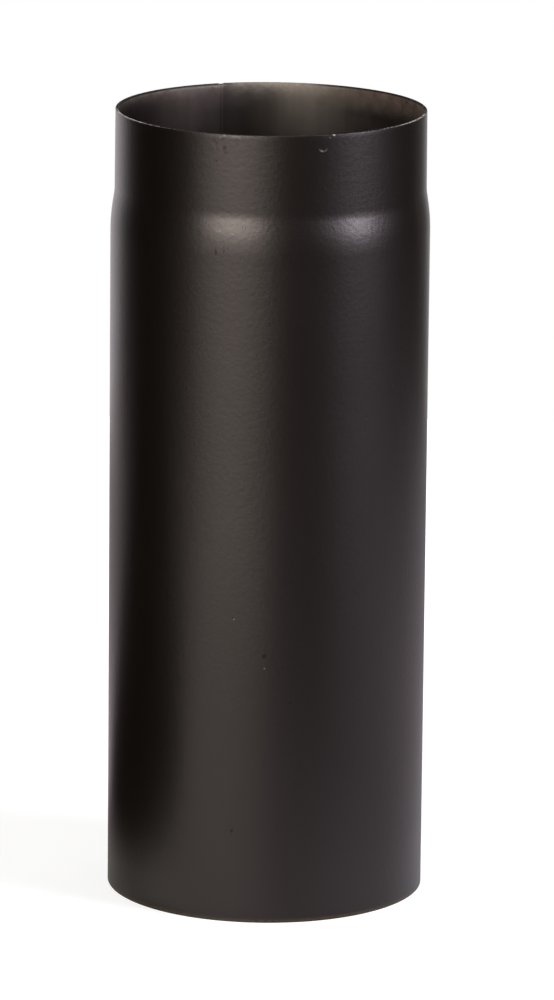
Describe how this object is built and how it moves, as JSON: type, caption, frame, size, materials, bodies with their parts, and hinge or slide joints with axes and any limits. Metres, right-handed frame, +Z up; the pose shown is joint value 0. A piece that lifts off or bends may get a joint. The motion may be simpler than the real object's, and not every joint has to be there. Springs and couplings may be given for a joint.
{
  "type": "stove pipe",
  "caption": "Straight black stove pipe of rolled, seam-welded steel sheet; its reduced upper end plugs into the wide end of the next pipe.",
  "frame": {"origin": "centre of the wide end's rim, on the pipe's axis, where the pipe stands", "axes": "+Z up along the pipe's axis towards the reduced end; the front of the picture looks along +Y, and the weld is behind, a little to the left"},
  "size_m": [0.1324, 0.1324, 0.33],
  "materials": {
    "stove_paint": "satin"
  },
  "bodies": {
    "root": {"stove_pipe": "stove_paint"}
  },
  "joints": []
}
